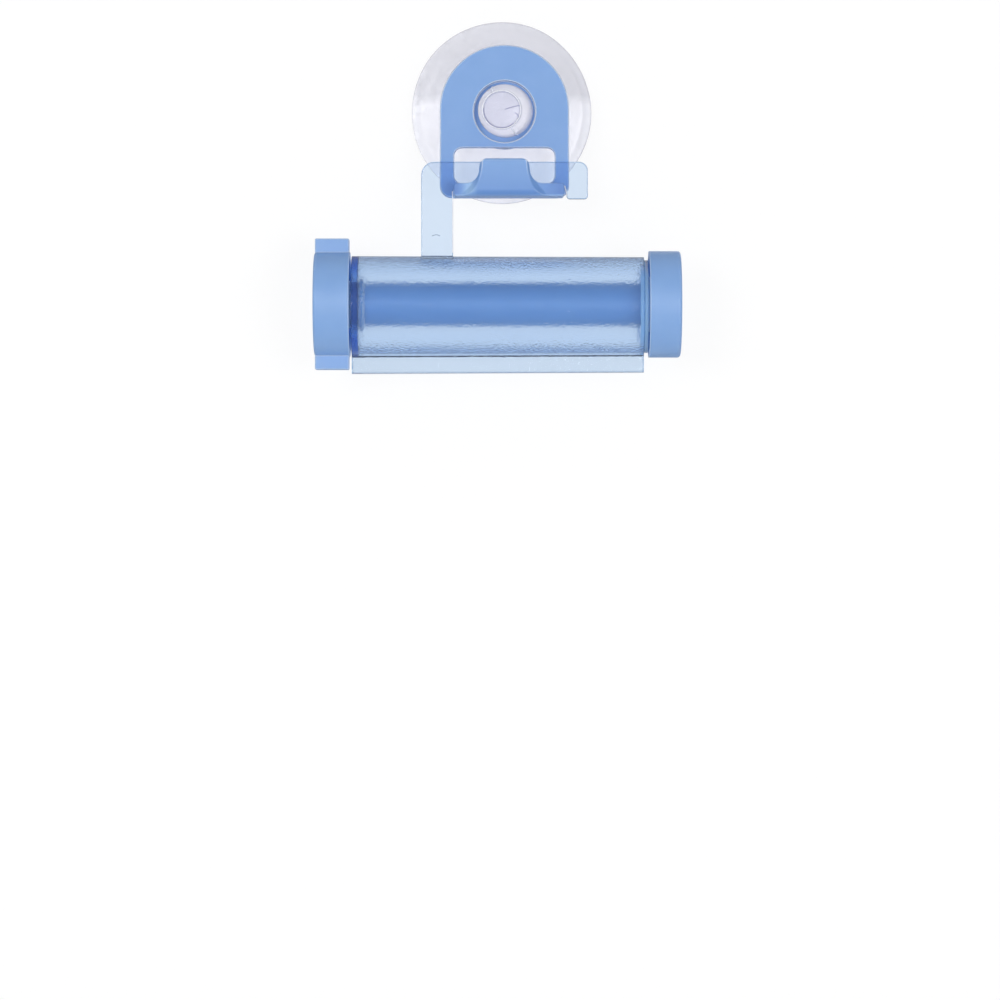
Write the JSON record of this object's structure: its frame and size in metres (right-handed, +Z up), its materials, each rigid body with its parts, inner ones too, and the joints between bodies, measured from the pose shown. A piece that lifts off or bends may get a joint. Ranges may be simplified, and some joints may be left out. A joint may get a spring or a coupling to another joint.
{
  "type": "toothpaste tube squeezer",
  "caption": "Toothpaste tube squeezer: a slotted roller with a winding knob turns in a clear casing that hangs from a suction-cup hook.",
  "frame": {"origin": "the suction cup's axis, on the wall that it sticks to", "axes": "+X right along the roller, +Y into the wall, +Z up; the front faces -Y"},
  "size_m": [0.0914, 0.0309, 0.0885],
  "materials": {
    "blue_plastic": "satin",
    "casing_plastic": "clear, glossy",
    "clear_pvc": "clear, soft"
  },
  "bodies": {
    "cup": {"suction_cup": "clear_pvc"},
    "hook": {"hook_plate": "blue_plastic"},
    "casing": {"casing": "casing_plastic", "bearing_disc": "casing_plastic"},
    "winder": {"roller": "blue_plastic", "winding_knob": "blue_plastic", "end_cap": "blue_plastic"}
  },
  "joints": [
    {"name": "hook_swivel", "type": "hinge", "parent": "cup", "child": "hook", "pos_m": [0, 0, 0], "axis": [0, 1, 0], "continuous": true},
    {"name": "casing_lift", "type": "slide", "parent": "hook", "child": "casing", "axis": [0, 0, 1], "range_m": [0, 0.0085]},
    {"name": "roller_spin", "type": "hinge", "parent": "casing", "child": "winder", "pos_m": [0, -0.0176, -0.0485], "axis": [1, 0, 0], "continuous": true}
  ]
}
